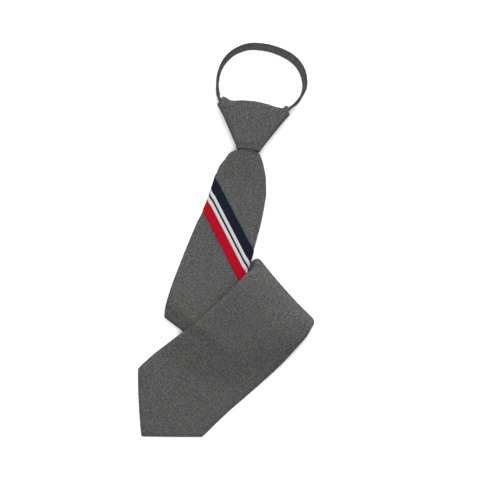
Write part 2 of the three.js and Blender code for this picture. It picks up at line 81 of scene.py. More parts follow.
# The blade's two edges on legs 1 and 3, as shares of the leg's length and of half the blade's width
LEG_1_ROWS = [
    {"along": 0.035, "left": 0.346, "right": 0.377, "puff": 0.88},
    {"along": 0.071, "left": 0.405, "right": 0.463, "puff": 0.66},
    {"along": 0.122, "left": 0.489, "right": 0.559, "puff": 0.3},
    {"along": 0.183, "left": 0.507, "right": 0.637, "puff": 0.07},
    {"along": 0.243, "left": 0.514, "right": 0.673, "puff": 0},
    {"along": 0.335, "left": 0.545, "right": 0.706, "puff": 0},
    {"along": 0.431, "left": 0.618, "right": 0.714, "puff": 0},
    {"along": 0.532, "left": 0.671, "right": 0.714, "puff": 0},
]
LEG_1_TURN_ROWS = [
    {"turned": 0.35, "left": 0.724, "right": 0.705},
    {"turned": 0.7, "left": 0.765, "right": 0.79},
]
LEG_3_ROWS = [
    {"along": 0.083, "left": 0.838, "right": 1.021},
    {"along": 0.176, "left": 0.826, "right": 1.051},
    {"along": 0.264, "left": 0.832, "right": 1.069},
    {"along": 0.342, "left": 0.848, "right": 1.059},
    {"along": 0.425, "left": 0.87, "right": 1.043},
    {"along": 0.488, "left": 0.91, "right": 1.026},
    {"along": 0.596, "left": 0.974, "right": 0.991},
    {"along": 0.674, "left": 1.018, "right": 0.978},
    {"along": 0.765, "left": 1.036, "right": 0.9725},
    {"along": 0.794, "left": 1.03, "right": 0.97},
]
FOLD_REACH = {
    "first": {
        "left": (0.86, 0.86), "right": (0.9, 0.9), "crest_left": 0.81, "crest_right": 0.825,
        "nudge": -0.0005, "sag": 0, "roll": 0.0013, "round": 0.0005,
    },
    "second": {
        "left": (0.935, 0.83), "right": (0.95, 0.985), "crest_left": 0.928, "crest_right": 0.945,
        "nudge": 0.0020, "sag": 0.0013, "roll": 0.0024, "round": 0.0020,
    },
}
CORNER_LEAD = 0.0023  # how much nearer to the fold the point's left corner lies than its right one
POINT_SHIFT = (-0.0002, 0.0017)  # how far the point lies beyond its place and to the right of it
POINT_BOW = (0.0011, 0.0001)  # how far its two sides curve out
POINT_SPREAD = 1.02  # half its width at the corners, as a share of half the blade's
POINT_BLUNT = 0.02  # the same at its very end, and the thickness left there
POINT_THIN = 0.6
EDGE_ROLL = 0.005  # how far in from an edge its roll reaches
STATION_STEP = 0.0022
FOLD_OVAL = 1.5  # how much further a fold reaches along the blade than it is high
FOLD_STEPS = 16
POINT_STEPS = 26
ROLL_STEPS = 8
FLAT_STEPS = 16
SEAM_SINK = 0.42  # how far the under flap of the back seam dips, as a share of half the thickness
SEAM_START = 0.72  # where the dip begins, as a share of the way from the edge's roll to the middle
SWELL = 0.00022  # rise and fall of the cloth over its padding
GATHER = 0.0004  # depth of the soft gathers under the knot
GATHER_PITCH = 0.0115
GATHER_START = 0.004
GATHER_RUN = 0.030

half_blade = BLADE_WIDTH / 2
half_thick = BLADE_THICK / 2
layer_gap = FIT_GAP + RIBBON_THICK + FIT_GAP
leg_two_mid = half_thick
leg_one_mid = leg_two_mid + BLADE_THICK + layer_gap
leg_three_mid = leg_one_mid + BLADE_THICK + layer_gap
strap_floor = KNOT_WALL + FIT_GAP
neck_floor = strap_floor + BAND_THICK + FIT_GAP
neck_half = KNOT_MOUTH_WIDTH / 2 - KNOT_WALL - FIT_GAP


def heading(degrees):
    return np.array([cos(radians(degrees)), sin(radians(degrees)), 0.0])


leg_axis = heading(LEG_1_HEADING)
leg_across = heading(LEG_1_HEADING + 90)
knot_up = heading(90 - KNOT_TILT)
knot_across = heading(-KNOT_TILT)


def leg_point(along, across, z):
    return MOUTH + along * leg_axis + across * leg_across + z * UP


def knot_point(across, up, z):
    return MOUTH + across * knot_across + up * knot_up + z * UP


def hermite(start, end, leave, arrive, t):
    rise = end - start
    bend = 3 * rise - 2 * leave - arrive
    return start + t * leave + t**2 * bend + t**3 * (leave + arrive - 2 * rise)


def curve_through(knots, values, places):
    """The smooth curve through a table's rows, which never swings out past a row."""
    knots = np.asarray(knots, float)
    values = np.asarray(values, float).reshape(len(knots), -1)
    slope = np.diff(values, axis=0) / np.diff(knots)[:, None]
    total = slope[:-1] + slope[1:]
    same_way = slope[:-1] * slope[1:] > 0
    inner = np.where(same_way, 2 * slope[:-1] * slope[1:] / np.where(same_way, total, 1), 0)
    tangent = np.vstack([slope[:1], inner, slope[-1:]])
    places = np.atleast_1d(np.asarray(places, float))
    index = np.clip(np.searchsorted(knots, places, side="right") - 1, 0, len(knots) - 2)
    run = (knots[index + 1] - knots[index])[:, None]
    t = (places - knots[index])[:, None] / run
    return hermite(values[index], values[index + 1], tangent[index] * run, tangent[index + 1] * run, t)


def smooth(share):
    share = np.clip(share, 0, 1)
    return share * share * (3 - 2 * share)


def puff_at(along):
    """Share of the gathered neck's extra thickness that is left at a place on leg 1."""
    knots = [-FIT_GAP / LEG_1_LENGTH] + [row["along"] for row in LEG_1_ROWS]
    puffs = [1] + [row["puff"] for row in LEG_1_ROWS]
    shares = np.clip(np.asarray(along) / LEG_1_LENGTH, knots[0], knots[-1])
    return curve_through(knots, puffs, np.ravel(shares)).reshape(np.shape(along))


def leg_one_thick(along):
    return BLADE_THICK + (NECK_THICK - BLADE_THICK) * puff_at(along)


def leg_one_floor(along):
    return leg_one_mid - half_thick + (neck_floor - leg_one_mid + half_thick) * puff_at(along)


def fold_frames(crest, crease_heading, out_heading, reach, radius, mid, side):
    """Edges, upward way, roll and sag of each station round a fold, from where the blade enters it."""
    crease, out = heading(crease_heading), heading(out_heading)
    run = radius * FOLD_OVAL
    base = crest + (reach["nudge"] - run - half_thick) * out
    frames = []
    for turned in np.linspace(0, 1, FOLD_STEPS + 1):
        bulge, level = sin(turned * pi), side * cos(turned * pi)
        shift = run * bulge * out + (mid + radius * level) * UP
        left, right = (start + (end - start) * turned for start, end in (reach["left"], reach["right"]))
        near = max(reach["round"] - (1 - bulge) * run, 0)
        rounded = (reach["round"] - (reach["round"] ** 2 - near**2) ** 0.5) / half_blade
        left += (reach["crest_left"] - left) * bulge - rounded
        right += (reach["crest_right"] - right) * bulge - rounded
        frames.append((
            base - left * half_blade * crease + shift,
            base + right * half_blade * crease + shift,
            bulge / FOLD_OVAL * out + level * UP,
            EDGE_ROLL + (reach["roll"] - EDGE_ROLL) * bulge,
            reach["sag"] * bulge,
        ))
    return frames


first_crest = leg_point(LEG_1_LENGTH, 0, 0)
first_radius = (leg_one_mid - leg_two_mid) / 2
first_fold = fold_frames(
    first_crest, FOLD_1_HEADING, FOLD_1_HEADING - 90, FOLD_REACH["first"],
    first_radius, (leg_one_mid + leg_two_mid) / 2, 1,
)
crest_from_axis = (
    max(row["right"] for row in LEG_1_ROWS) * half_blade
    + FIT_GAP + RIBBON_THICK + FOLD_ROOM
    + BLADE_THICK * heading(FOLD_2_HEADING + 90) @ leg_across
    + FOLD_2_CORNER * half_blade * heading(FOLD_2_HEADING) @ leg_across
)
leg_two_axis = heading(LEG_2_HEADING)
second_crest = first_crest + leg_two_axis * crest_from_axis / (leg_two_axis @ leg_across)
second_radius = (leg_three_mid - leg_two_mid) / 2
second_fold = fold_frames(
    second_crest, FOLD_2_HEADING, FOLD_2_HEADING + 90, FOLD_REACH["second"],
    second_radius, (leg_three_mid + leg_two_mid) / 2, -1,
)


def leg_three_height(point):
    """Leg 3 lies on the other legs, and beyond their edges it comes down to the table."""
    fold_end, bend_end = (fold[FOLD_STEPS // 2][1] * (1, 1, 0) for fold in (first_fold, second_fold))
    edge_way = (bend_end - fold_end) / np.linalg.norm(bend_end - fold_end)
    beyond_fold = (point - first_crest) @ heading(FOLD_1_HEADING - 90) + DRAPE_LEAD
    beyond_edge = (point - fold_end) @ np.cross(edge_way, UP) + DRAPE_SIDE_LEAD
    fallen = smooth(hypot(max(beyond_fold, 0) / DRAPE_RUN, max(beyond_edge, 0) / DRAPE_SIDE_RUN))
    return leg_three_mid + (leg_two_mid - leg_three_mid) * fallen


def sprung_up(point, past_leg_one):
    """The padding won't lie flat behind a fold: leg 1 rises there with leg 3 on it, and so does leg 3."""
    behind = (first_crest - point) @ heading(FOLD_1_HEADING - 90)
    beside = (point - first_crest) @ leg_across + SPRING_SIDE_LEAD
    above_leg_two = smooth((point[2] - 0.0029) / 0.0013)
    rise = SPRING_1 * smooth((behind - SPRING_1_START) / SPRING_1_RUN) * above_leg_two
    if past_leg_one:
        back = max((second_crest - point) @ heading(FOLD_2_HEADING + 90), 0) / SPRING_2_RUN
        bulge = 1 - (1 - back) ** 2 if back < 1 else 1 - smooth((back - 1) / 2)
        rise *= smooth(back) * (1 - smooth(beside / SPRING_1_SIDE_ABOVE))
        above_leg_one = smooth((point[2] - 0.004) / 0.006)
        rise += SPRING_2 * bulge * above_leg_one
    else:
        rise *= 1 - smooth((behind - SPRING_1_END) / SPRING_1_FADE)
        rise *= 1 - smooth(beside / SPRING_1_SIDE)
    return point + rise * UP


class Cloth:
    """One leg's flat pattern: how far across and along the strip a point of the table plan lies."""

    def __init__(self, start, axis, across, travelled, shifted=0.0):
        self.start, self.axis, self.across = start, axis, across
        self.travelled, self.shifted = travelled, shifted

    def place(self, point):
        way = point - self.start
        return [self.shifted + way @ self.across, self.travelled + way @ self.axis]

    def edges(self, left, right):
        return np.array(self.place(left * (1, 1, 0)) + self.place(right * (1, 1, 0)))

    def folded(self, crest, out, radius, nudge, axis, across):
        """The next leg's pattern, carried on round the outside of a fold."""
        entry = crest - (radius * FOLD_OVAL + half_thick - nudge) * out
        arc = pi * (radius + half_thick) * ((FOLD_OVAL**2 + 1) / 2) ** 0.5
        shifted, travelled = self.place(entry)
        travelled += arc * out @ self.axis
        shifted += arc * out @ self.across
        return Cloth(entry, axis, across, travelled, shifted)


leg_three_axis = heading(LEG_3_HEADING)
leg_three_across = heading(LEG_3_HEADING + 90)
cloth_1 = Cloth(first_crest, leg_axis, leg_across, LEG_1_LENGTH)
cloth_2 = cloth_1.folded(
    first_crest, heading(FOLD_1_HEADING - 90), first_radius, FOLD_REACH["first"]["nudge"],
    leg_two_axis, heading(LEG_2_HEADING - 90),
)
cloth_3 = cloth_2.folded(
    second_crest, heading(FOLD_2_HEADING + 90), second_radius, FOLD_REACH["second"]["nudge"],
    leg_three_axis, leg_three_across,
)


def station(left, right, up, thick, flat, draped=0.0, roll=EDGE_ROLL, sag=0.0):
    """A section as one row: edges, upward way, thickness, draping, place in the cloth, roll and sag."""
    return np.concatenate([left, right, up, [thick, draped], flat, [roll, sag]])


def fold_stations(fold, before, after):
    """Sections round a fold, with the cloth going round it evenly."""
    enter, leave = before.edges(*fold[0][:2]), after.edges(*fold[-1][:2])
    rows = []
    for k, (left, right, up, roll, sag) in enumerate(fold):
        flat = enter + (leave - enter) * k / FOLD_STEPS
        rows.append(station(left, right, up, BLADE_THICK, flat, roll=roll, sag=sag))
    return rows


def blade_stations():
    rows = []
    neck_mid = neck_floor + NECK_THICK / 2
    flare = (neck_half + KNOT_WALL) / neck_half
    for up, half in ((NECK_GRIP, 0.85), (-FIT_GAP, 0.94), (-FIT_GAP - KNOT_WALL * 0.6, flare)):
        left, right = (knot_point(side * neck_half * half, up, neck_mid) for side in (-1, 1))
        rows.append(station(left, right, UP, NECK_THICK, cloth_1.edges(left, right)))
    for row in LEG_1_ROWS:
        along = row["along"] * LEG_1_LENGTH
        thick = float(leg_one_thick(along))
        mid = float(leg_one_floor(along)) + thick / 2
        left = leg_point(along, -row["left"] * half_blade, mid)
        right = leg_point(along, row["right"] * half_blade, mid)
        rows.append(station(left, right, UP, thick, cloth_1.edges(left, right)))
    last_square = LEG_1_ROWS[-1]["along"] * LEG_1_LENGTH
    entry_left, entry_right = ((edge - MOUTH) @ leg_axis for edge in first_fold[0][:2])
    for row in LEG_1_TURN_ROWS:
        left_end = last_square + (entry_left - last_square) * row["turned"]
        right_end = last_square + (entry_right - last_square) * row["turned"]
        left = leg_point(left_end, -row["left"] * half_blade, leg_one_mid)
        right = leg_point(right_end, row["right"] * half_blade, leg_one_mid)
        rows.append(station(left, right, UP, BLADE_THICK, cloth_1.edges(left, right)))
    rows += fold_stations(first_fold, cloth_1, cloth_2)
    for share in (0.35, 0.7):
        left, right = ((1 - share) * first_fold[-1][e] + share * second_fold[0][e] for e in (0, 1))
        rows.append(station(left, right, -UP, BLADE_THICK, cloth_2.edges(left, right)))
    rows += fold_stations(second_fold, cloth_2, cloth_3)
    for row in LEG_3_ROWS:
        start = second_crest + row["along"] * LEG_3_LENGTH * leg_three_axis
        left = start - row["left"] * half_blade * leg_three_across
        right = start + row["right"] * half_blade * leg_three_across
        if row is LEG_3_ROWS[-1]:
            left -= CORNER_LEAD * leg_three_axis
        rows.append(station(left, right, UP, BLADE_THICK, cloth_3.edges(left, right), draped=1.0))
    return np.array(rows)


def fine_stations(rows):
    """The same sections set close together, on smooth curves up to the corners of the point."""
    chord = np.linalg.norm(np.diff((rows[:, :3] + rows[:, 3:6]) / 2, axis=0), axis=1)
    chord = np.maximum(chord, np.linalg.norm(np.diff(rows[:, :3], axis=0), axis=1))
    knots = np.concatenate([[0], np.cumsum(chord)])
    places = [knots[0]]
    for start, end in zip(knots[:-1], knots[1:]):
        steps = max(1, ceil((end - start) / STATION_STEP))
        places.extend(start + (end - start) * np.arange(1, steps + 1) / steps)
    fine = curve_through(knots, rows, places)
    corner = rows[-1]
    tip = second_crest + (LEG_3_LENGTH + POINT_SHIFT[0]) * leg_three_axis
    tip = tip + POINT_SHIFT[1] * leg_three_across
    blunt = POINT_BLUNT * half_blade * leg_three_across
    flat = cloth_3.edges(tip - blunt, tip + blunt)
    tip_row = station(tip - blunt, tip + blunt, UP, BLADE_THICK * POINT_THIN, flat, draped=1.0)
    share = np.linspace(0, 1, POINT_STEPS + 1)[1:, None]
    pointed = corner + (tip_row - corner) * share
    pointed[:, 9] = BLADE_THICK + (tip_row[9] - BLADE_THICK) * share[:, 0] ** 6
    bow = 4 * share * (1 - share) * leg_three_across
    pointed[:, :3] -= POINT_BOW[0] * bow
    pointed[:, 3:6] += POINT_BOW[1] * bow
    fine[:, 6:9] /= np.linalg.norm(fine[:, 6:9], axis=1)[:, None]
    return fine, pointed


def quarter(roll_steps, flat_steps):
    """From an edge to the middle: the share of the roll's turn, then the share of the flat, behind us."""
    turns = np.linspace(0, 1, roll_steps + 1)
    flats = np.linspace(0, 1, flat_steps + 1)[1:]
    return [(turn, 0.0) for turn in turns] + [(1.0, flat) for flat in flats]


half_path = quarter(ROLL_STEPS, FLAT_STEPS)
ring_path = (
    [(-1, -1, turn, flat) for turn, flat in reversed(half_path)]
    + [(-1, 1, turn, flat) for turn, flat in half_path[1:]]
    + [(1, 1, turn, flat) for turn, flat in reversed(half_path[:-1])]
    + [(1, -1, turn, flat) for turn, flat in half_path[1:]]
)


def swell(across, along):
    """Slow rise and fall of the cloth over its padding, and the soft gathers under the knot."""
    slow = noise.noise(Vector((across * 34, along * 22, 0.3)))
    slow += 0.5 * noise.noise(Vector((across * 75, along * 60, 4.1)))
    if along <= 0:
        return SWELL * slow
    gather = cos(across * pi * 2 / GATHER_PITCH) * max(0.0, 1 - along / GATHER_RUN) ** 2
    return SWELL * slow + GATHER * gather * min(1.0, along / GATHER_START)


def blade_grid(rows, leaning):
    """The skin's points and their places in the cloth, one ring for each station."""
    points, cloth = [], []
    for row, lean in zip(rows, leaning):
        left, right, up, thick, draped = row[:3], row[3:6], row[6:9], row[9], row[10]
        left_across, left_along, right_across, right_along, roll, sag = row[11:]
        width = np.linalg.norm(right - left)
        roll = min(roll * lean, width * 0.46)
        arc = pi / 2 * hypot(roll, thick / 2) / 2**0.5
        ring, flat_ring = [], []
        for side, face, turn, flat in ring_path:
            inward = roll * (1 - cos(turn * pi / 2)) + flat * (width / 2 - roll)
            surface = turn * arc + flat * (width / 2 - roll)
            rise = face * sin(turn * pi / 2)
            if face < 0 and side < 0:
                rise += SEAM_SINK * smooth((flat - SEAM_START) / (1 - SEAM_START))
            share = inward / width if side < 0 else 1 - inward / width
            point = left + (right - left) * share
            unrolled = face * surface - arc + roll
            across = left_across + unrolled if side < 0 else right_across - unrolled
            along = left_along + (right_along - left_along) * share
            where = left_across + (right_across - left_across) * share
            height = rise * thick / 2 + swell(where, along) * min(1.0, inward / roll)
            height -= sag * 4 * share * (1 - share)
            if draped:
                height += draped * (leg_three_height(point * (1, 1, 0)) + (thick - BLADE_THICK) / 2)
            skin = sprung_up(point + height * up, left_along + right_along > 2 * cloth_2.travelled)
            skin[2] = max(skin[2], 0.0)
            ring.append(skin)
            flat_ring.append((across, along))
        points.append(ring)
        cloth.append(flat_ring + flat_ring[-1:])
    return np.array(points), np.array(cloth)


def placed(name, data):
    """A new object in the scene."""
    made = bpy.data.objects.new(name, data)
    bpy.context.scene.collection.objects.link(made)
    return made


def grid_mesh(name, points, cloth, material, capped=True):
    """A skin over rings of points. Each ring of cloth has one place more, where the ring comes round."""
    rings, count = points.shape[:2]
    mesh = bpy.data.meshes.new(name)
    faces, corners = [], []
    for k in range(rings - 1):
        here = k * count
        for i in range(count):
            after = (i + 1) % count
            faces.append((here + i, here + count + i, here + count + after, here + after))
            corners.extend((cloth[k, i], cloth[k + 1, i], cloth[k + 1, i + 1], cloth[k, i + 1]))
    if capped:
        for ring, order in ((0, 1), (rings - 1, -1)):
            faces.append(tuple(ring * count + i for i in range(count))[::order])
            corners.extend([cloth[ring, i] for i in range(count)][::order])
    mesh.from_pydata(points.reshape(-1, 3).tolist(), [], faces)
    layer = mesh.uv_layers.new(name="cloth")
    layer.data.foreach_set("uv", np.array(corners, np.float32).ravel())
    mesh.polygons.foreach_set("use_smooth", [True] * len(mesh.polygons))
    mesh.materials.append(material)
    return placed(name, mesh)


def node(tree, kind, inputs=None, **settings):
    """A shader node with its settings made and its inputs joined or filled."""
    made = tree.nodes.new("ShaderNode" + kind)
    for name, value in settings.items():
        setattr(made, name, value)
    for place, value in (inputs or {}).items():
        if isinstance(value, bpy.types.NodeSocket):
            tree.links.new(value, made.inputs[place])
        else:
            made.inputs[place].default_value = value
    return made


def maths(tree, operation, *values):
    return node(tree, "Math", dict(enumerate(values)), operation=operation).outputs[0]


def blended(tree, share, first, second):
    """first where share is 0 and second where it is 1, for numbers."""
    return node(tree, "Mix", {0: share, 2: first, 3: second}, data_type="FLOAT").outputs[0]


def new_material(name):
    material = bpy.data.materials.new(name)
    material.use_nodes = True
    return material, material.node_tree, material.node_tree.nodes["Principled BSDF"]


def bumped(tree, shader, height, strength, depth):
    bump = node(tree, "Bump", {"Strength": strength, "Distance": depth, "Height": height})
    tree.links.new(bump.outputs[0], shader.inputs["Normal"])


def painted(tree, share, stops):
    """A colour ramp through (place, red, green, blue) stops."""
    ramp = node(tree, "ValToRGB", {0: share})
    elements = ramp.color_ramp.elements
    while len(elements) < len(stops):
        elements.new(1.0)
    for element, (place, *colour) in zip(elements, stops):
        element.position = place
        element.color = (*colour, 1.0)
    return ramp.outputs[0]


YARN = 0.00052  # from one yarn to the next in the plain weave
YARN_WANDER = 1.4
SPIN_FINE = 1.05  # the roving's light and dark lengths, for each yarn across and along them
SPIN_LONG = 0.21
FIBRE_FINE = 3.1  # the fibres' streaks, likewise
FIBRE_LONG = 0.7
WOOL_SHADES = [
    (0, 0.0140, 0.0141, 0.0139),
    (0.3, 0.0324, 0.0327, 0.0319),
    (0.5, 0.0481, 0.0486, 0.0475),
    (0.7, 0.0669, 0.0675, 0.0659),
    (1, 0.1104, 0.1108, 0.1081),
]
WOOL_TINTS = [(0.36, 0.986, 0.999, 1.016), (0.5, 1.0, 1.0, 1.0), (0.64, 1.015, 1.002, 0.976)]


def wool(name, bias, shades, seed):
    """Plain-weave heather wool: dark and light fibres spun together, each yarn a little its own."""
    material, tree, shader = new_material(name)
    place = node(tree, "UVMap", uv_map="cloth").outputs[0]
    on_bias = {"Vector": place, "Angle": radians(bias)}
    turned = node(tree, "VectorRotate", on_bias, rotation_type="Z_AXIS").outputs[0]
    counted = node(tree, "VectorMath", {0: turned, "Scale": 1 / YARN}, operation="SCALE").outputs[0]
    # The yarns don't run dead straight: each wanders by a fraction of its width
    slow = {"Vector": counted, "Scale": 0.16, "Detail": 1.0}
    wander = node(tree, "TexNoise", slow, noise_dimensions="2D").outputs[1]
    shifted = node(tree, "VectorMath", {0: wander, 1: (-0.5, -0.5, 0)}, operation="ADD").outputs[0]
    drift = {0: shifted, 1: (YARN_WANDER, YARN_WANDER, 0), 2: counted}
    drifted = node(tree, "VectorMath", drift, operation="MULTIPLY_ADD").outputs[0]
    split = node(tree, "SeparateXYZ", {0: drifted})
    x, y = split.outputs[0], split.outputs[1]
    warp, weft = maths(tree, "FLOOR", x), maths(tree, "FLOOR", y)
    over = maths(tree, "PINGPONG", maths(tree, "ADD", warp, weft), 1.0)

    def spot(across, along, scale_across, scale_along, salt):
        scaled_across = maths(tree, "MULTIPLY", across, scale_across)
        scaled_along = maths(tree, "MULTIPLY", along, scale_along)
        return node(tree, "CombineXYZ", {0: scaled_across, 1: scaled_along, 2: salt}).outputs[0]

    def spun(across, along, salt):
        """Uneven spinning: light and dark lengths of roving, a few yarns wide and longer than wide."""
        roving = spot(across, along, SPIN_FINE, SPIN_LONG, salt)
        uneven = {"Vector": roving, "Scale": 1.0, "Detail": 2.0, "Roughness": 0.85}
        return node(tree, "TexNoise", uneven).outputs[0]

    # Fibres: short streaks along whichever yarn is on top
    along_warp = spot(x, y, FIBRE_FINE, FIBRE_LONG, seed)
    along_weft = spot(x, y, FIBRE_LONG, FIBRE_FINE, seed + 9)
    on_top = node(tree, "Mix", {0: over, 4: along_warp, 5: along_weft}, data_type="VECTOR").outputs[1]
    fibres = {"Vector": on_top, "Scale": 0.8, "Detail": 3.0, "Roughness": 0.62}
    streak = node(tree, "TexNoise", fibres).outputs[0]
    # The crown of each yarn where it passes over the other; it shapes the bump, and in the colour it is
    # painted shade, darker between yarns
    crown_x = maths(tree, "SINE", maths(tree, "MULTIPLY", maths(tree, "FRACT", x), pi))
    crown_y = maths(tree, "SINE", maths(tree, "MULTIPLY", maths(tree, "FRACT", y), pi))
    across_yarn = maths(tree, "POWER", blended(tree, over, crown_x, crown_y), 0.6)
    down_yarn = maths(tree, "MULTIPLY_ADD", blended(tree, over, crown_y, crown_x), 0.45, 0.55)
    crown = maths(tree, "MULTIPLY", across_yarn, down_yarn)
    # Each crossing shows its own mix of dyed and undyed fibres
    crossing = node(tree, "CombineXYZ", {0: warp, 1: weft, 2: seed})
    mixed = node(tree, "TexWhiteNoise", {"Vector": crossing.outputs[0]}, noise_dimensions="3D").outputs[0]
    cloud = node(tree, "TexNoise", {"Vector": counted, "Scale": 0.045, "Detail": 2.0}).outputs[0]
    # The start brings the sum's mean to the middle of the shades
    shade = -1.475
    # The crowns count in with a small weight as painted shade: lighter on the yarns' crowns, darker in
    # the valleys between them
    parts = [
        (spun(x, y, seed), 1.55), (spun(y, x, seed + 40.0), 1.55),
        (mixed, 0.45), (streak, 0.30), (crown, 0.14), (cloud, 0.10),
    ]
    for part, weight in parts:
        shade = maths(tree, "MULTIPLY_ADD", part, weight, shade)
    layers = {0: 1.0, 6: painted(tree, shade, shades), 7: painted(tree, cloud, WOOL_TINTS)}
    coloured = node(tree, "Mix", layers, data_type="RGBA", blend_type="MULTIPLY").outputs[2]
    tree.links.new(coloured, shader.inputs["Base Color"])
    height = maths(tree, "MULTIPLY_ADD", streak, 0.5, crown)
    bumped(tree, shader, height, 0.75, 0.00016)
    shader.inputs["Roughness"].default_value = 0.95
    shader.inputs["Specular IOR Level"].default_value = 0.1
    return material


blade_wool = wool("blade_wool", 45, WOOL_SHADES, 3.0)
fine_rows, point_rows = fine_stations(blade_stations())
point_run = (1 - LEG_3_ROWS[-1]["along"]) * LEG_3_LENGTH
point_slope = hypot(1, half_blade * POINT_SPREAD / point_run)
leaning = [1.0] * len(fine_rows) + [point_slope] * len(point_rows)
blade_points, blade_cloth = blade_grid(np.vstack([fine_rows, point_rows]), leaning)
blade = grid_mesh("tie_blade", blade_points, blade_cloth, blade_wool)
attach(blade, "root")
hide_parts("blade")


# Ribbon
# A striped woven ribbon of navy, white and red, sewn slantwise across the blade before the blade was
# folded round its lining, so that it turns round both edges with the wool. Each colour is its own stripe.
RIBBON_SLANT = 46.8
RIBBON_FROM_KNOT = 0.0672
RIBBON_WRAP = 0.007
RIBBON_LIFT = 0.0002
RIBBON_STEPS = 96
STRIPE_GAP = 0.0003  # what the solids leave between two stripes; the woven ribbon has none
RIB = 0.00062  # from one rib of the weave to the next
RIB_THREADS = 3.2
NAVY_SHADES = [(0, 0.0022, 0.0038, 0.0078), (0.5, 0.0049, 0.0079, 0.0148), (1, 0.0095, 0.0142, 0.0238)]
WHITE_SHADES = [(0, 0.265, 0.265, 0.27), (0.5, 0.358, 0.358, 0.36), (1, 0.45, 0.45, 0.45)]
RED_SHADES = [(0, 0.184, 0.0009, 0.005), (0.5, 0.26, 0.0015, 0.0076), (1, 0.342, 0.0042, 0.0142)]
STRIPES = [
    {"node": "ribbon_navy", "width": 0.0076, "slot": "ribbon_navy", "shades": NAVY_SHADES},
    {"node": "ribbon_white_upper", "width": 0.0024, "slot": "ribbon_white", "shades": WHITE_SHADES},
    {"node": "ribbon_pin_line", "width": 0.0012, "slot": "ribbon_navy", "shades": NAVY_SHADES},
    {"node": "ribbon_white_lower", "width": 0.0024, "slot": "ribbon_white", "shades": WHITE_SHADES},
    {"node": "ribbon_red", "width": 0.0076, "slot": "ribbon_red", "shades": RED_SHADES},
]


def ribbed(name, shades):
    """Grosgrain: fine warp threads closely covering thicker ribs that run across the ribbon."""
    material, tree, shader = new_material(name)
    place = node(tree, "SeparateXYZ", {0: node(tree, "UVMap", uv_map="cloth").outputs[0]})
    run = maths(tree, "MULTIPLY", place.outputs[0], 1 / RIB)
    thread = maths(tree, "MULTIPLY", place.outputs[1], RIB_THREADS / RIB)
    rib = maths(tree, "ABSOLUTE", maths(tree, "SINE", maths(tree, "MULTIPLY", run, pi)))
    ply = maths(tree, "ABSOLUTE", maths(tree, "SINE", maths(tree, "MULTIPLY", thread, pi)))
    slow_run = maths(tree, "MULTIPLY", run, 0.35)
    spot = node(tree, "CombineXYZ", {0: slow_run, 1: maths(tree, "FLOOR", thread)}).outputs[0]
    own = node(tree, "TexNoise", {"Vector": spot, "Scale": 1.0, "Detail": 2.0}).outputs[0]
    height = maths(tree, "MULTIPLY_ADD", ply, 0.25, maths(tree, "POWER", rib, 0.7))
    # Painted shade: the ribs' height lightens their crowns and darkens the valleys between them in the
    # colour
    shade = maths(tree, "MULTIPLY_ADD", own, 0.55, maths(tree, "MULTIPLY", height, 0.22))
    tree.links.new(painted(tree, shade, shades), shader.inputs["Base Color"])
    bumped(tree, shader, height, 0.6, 0.00009)
    shader.inputs["Roughness"].default_value = 0.8
    shader.inputs["Specular IOR Level"].default_value = 0.04
    return material


edge_rows = fine_rows[: len(fine_rows) // 2]
edge_rows = edge_rows[edge_rows[:, 2] > leg_one_mid - FIT_GAP]
left_edge = (edge_rows[:, :3] - MOUTH) @ np.array([leg_axis, -leg_across]).T
right_edge = (edge_rows[:, 3:6] - MOUTH) @ np.array([leg_axis, leg_across]).T


def on_blade(around, along, lift):
    """The point above leg 1's skin at a place in its cloth, where around goes round from the middle."""
    side = -1 if around < 0 else 1
    edge = left_edge if side < 0 else right_edge
    half = np.interp(along, edge[:, 0], edge[:, 1])
    thick = float(leg_one_thick(along))
    arc = pi / 2 * hypot(EDGE_ROLL, thick / 2) / 2**0.5
    past = (half - EDGE_ROLL + arc) - abs(around)  # surface distance in from the very edge
    face = 1 if past > 0 else -1
    turn = min(abs(past) / arc, 1.0) * pi / 2
    inward = EDGE_ROLL * (1 - cos(turn)) + max(abs(past) - arc, 0)
    normal = np.array([cos(turn) * thick / 2, face * sin(turn) * EDGE_ROLL])
    normal /= np.linalg.norm(normal)
    across = half - inward + normal[0] * lift
    rise = face * sin(turn) * thick / 2 + normal[1] * lift
    rise += swell(side * (half - inward), along) * min(1.0, inward / EDGE_ROLL)
    return leg_point(along, side * across, float(leg_one_floor(along)) + thick / 2 + rise)


def stripe_end(crossing, slope, side):
    """How far round the blade a line of the ribbon reaches, to the end of its turned part on the back."""
    edge = left_edge if side < 0 else right_edge
    around = edge[0, 1]
    for _ in range(12):
        half = np.interp(crossing + side * around * slope, edge[:, 0], edge[:, 1])
        around = half + RIBBON_WRAP
    return around


def stripe(name, start, end, material):
    """One stripe from the back of the left edge, over the front, to the back of the right edge."""
    slope, stretch = tan(radians(RIBBON_SLANT)), cos(radians(RIBBON_SLANT))
    widths = max(2, ceil((end - start) / 0.0008))
    top = [(offset, RIBBON_THICK) for offset in np.linspace(start, end, widths + 1)]
    under = [(offset, 0.0) for offset, _ in reversed(top)]
    points, cloth = [], []
    for step in np.linspace(-1, 1, RIBBON_STEPS + 1):
        ring, flat_ring = [], []
        for offset, thick in top + under:
            crossing = RIBBON_FROM_KNOT + offset / stretch
            around = stripe_end(crossing, slope, -1 if step < 0 else 1) * step
            ring.append(on_blade(around, crossing + around * slope, RIBBON_LIFT + thick))
            flat_ring.append((around / stretch + offset * slope, offset))
        points.append(ring)
        cloth.append(flat_ring + flat_ring[:1])
    return grid_mesh(name, np.array(points), np.array(cloth), material)


ribbon_width = sum(row["width"] for row in STRIPES) + STRIPE_GAP * (len(STRIPES) - 1)
stripe_start = -ribbon_width / 2
ribbon_finishes = {row["slot"]: ribbed(row["slot"] + "_weave", row["shades"]) for row in STRIPES}
for row in STRIPES:
    start, end = stripe_start - STRIPE_GAP / 2, stripe_start + row["width"] + STRIPE_GAP / 2
    piece = stripe("woven_" + row["node"], start, end, ribbon_finishes[row["slot"]])
    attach(piece, "root")
    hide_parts(row["node"])
    stripe_start += row["width"] + STRIPE_GAP


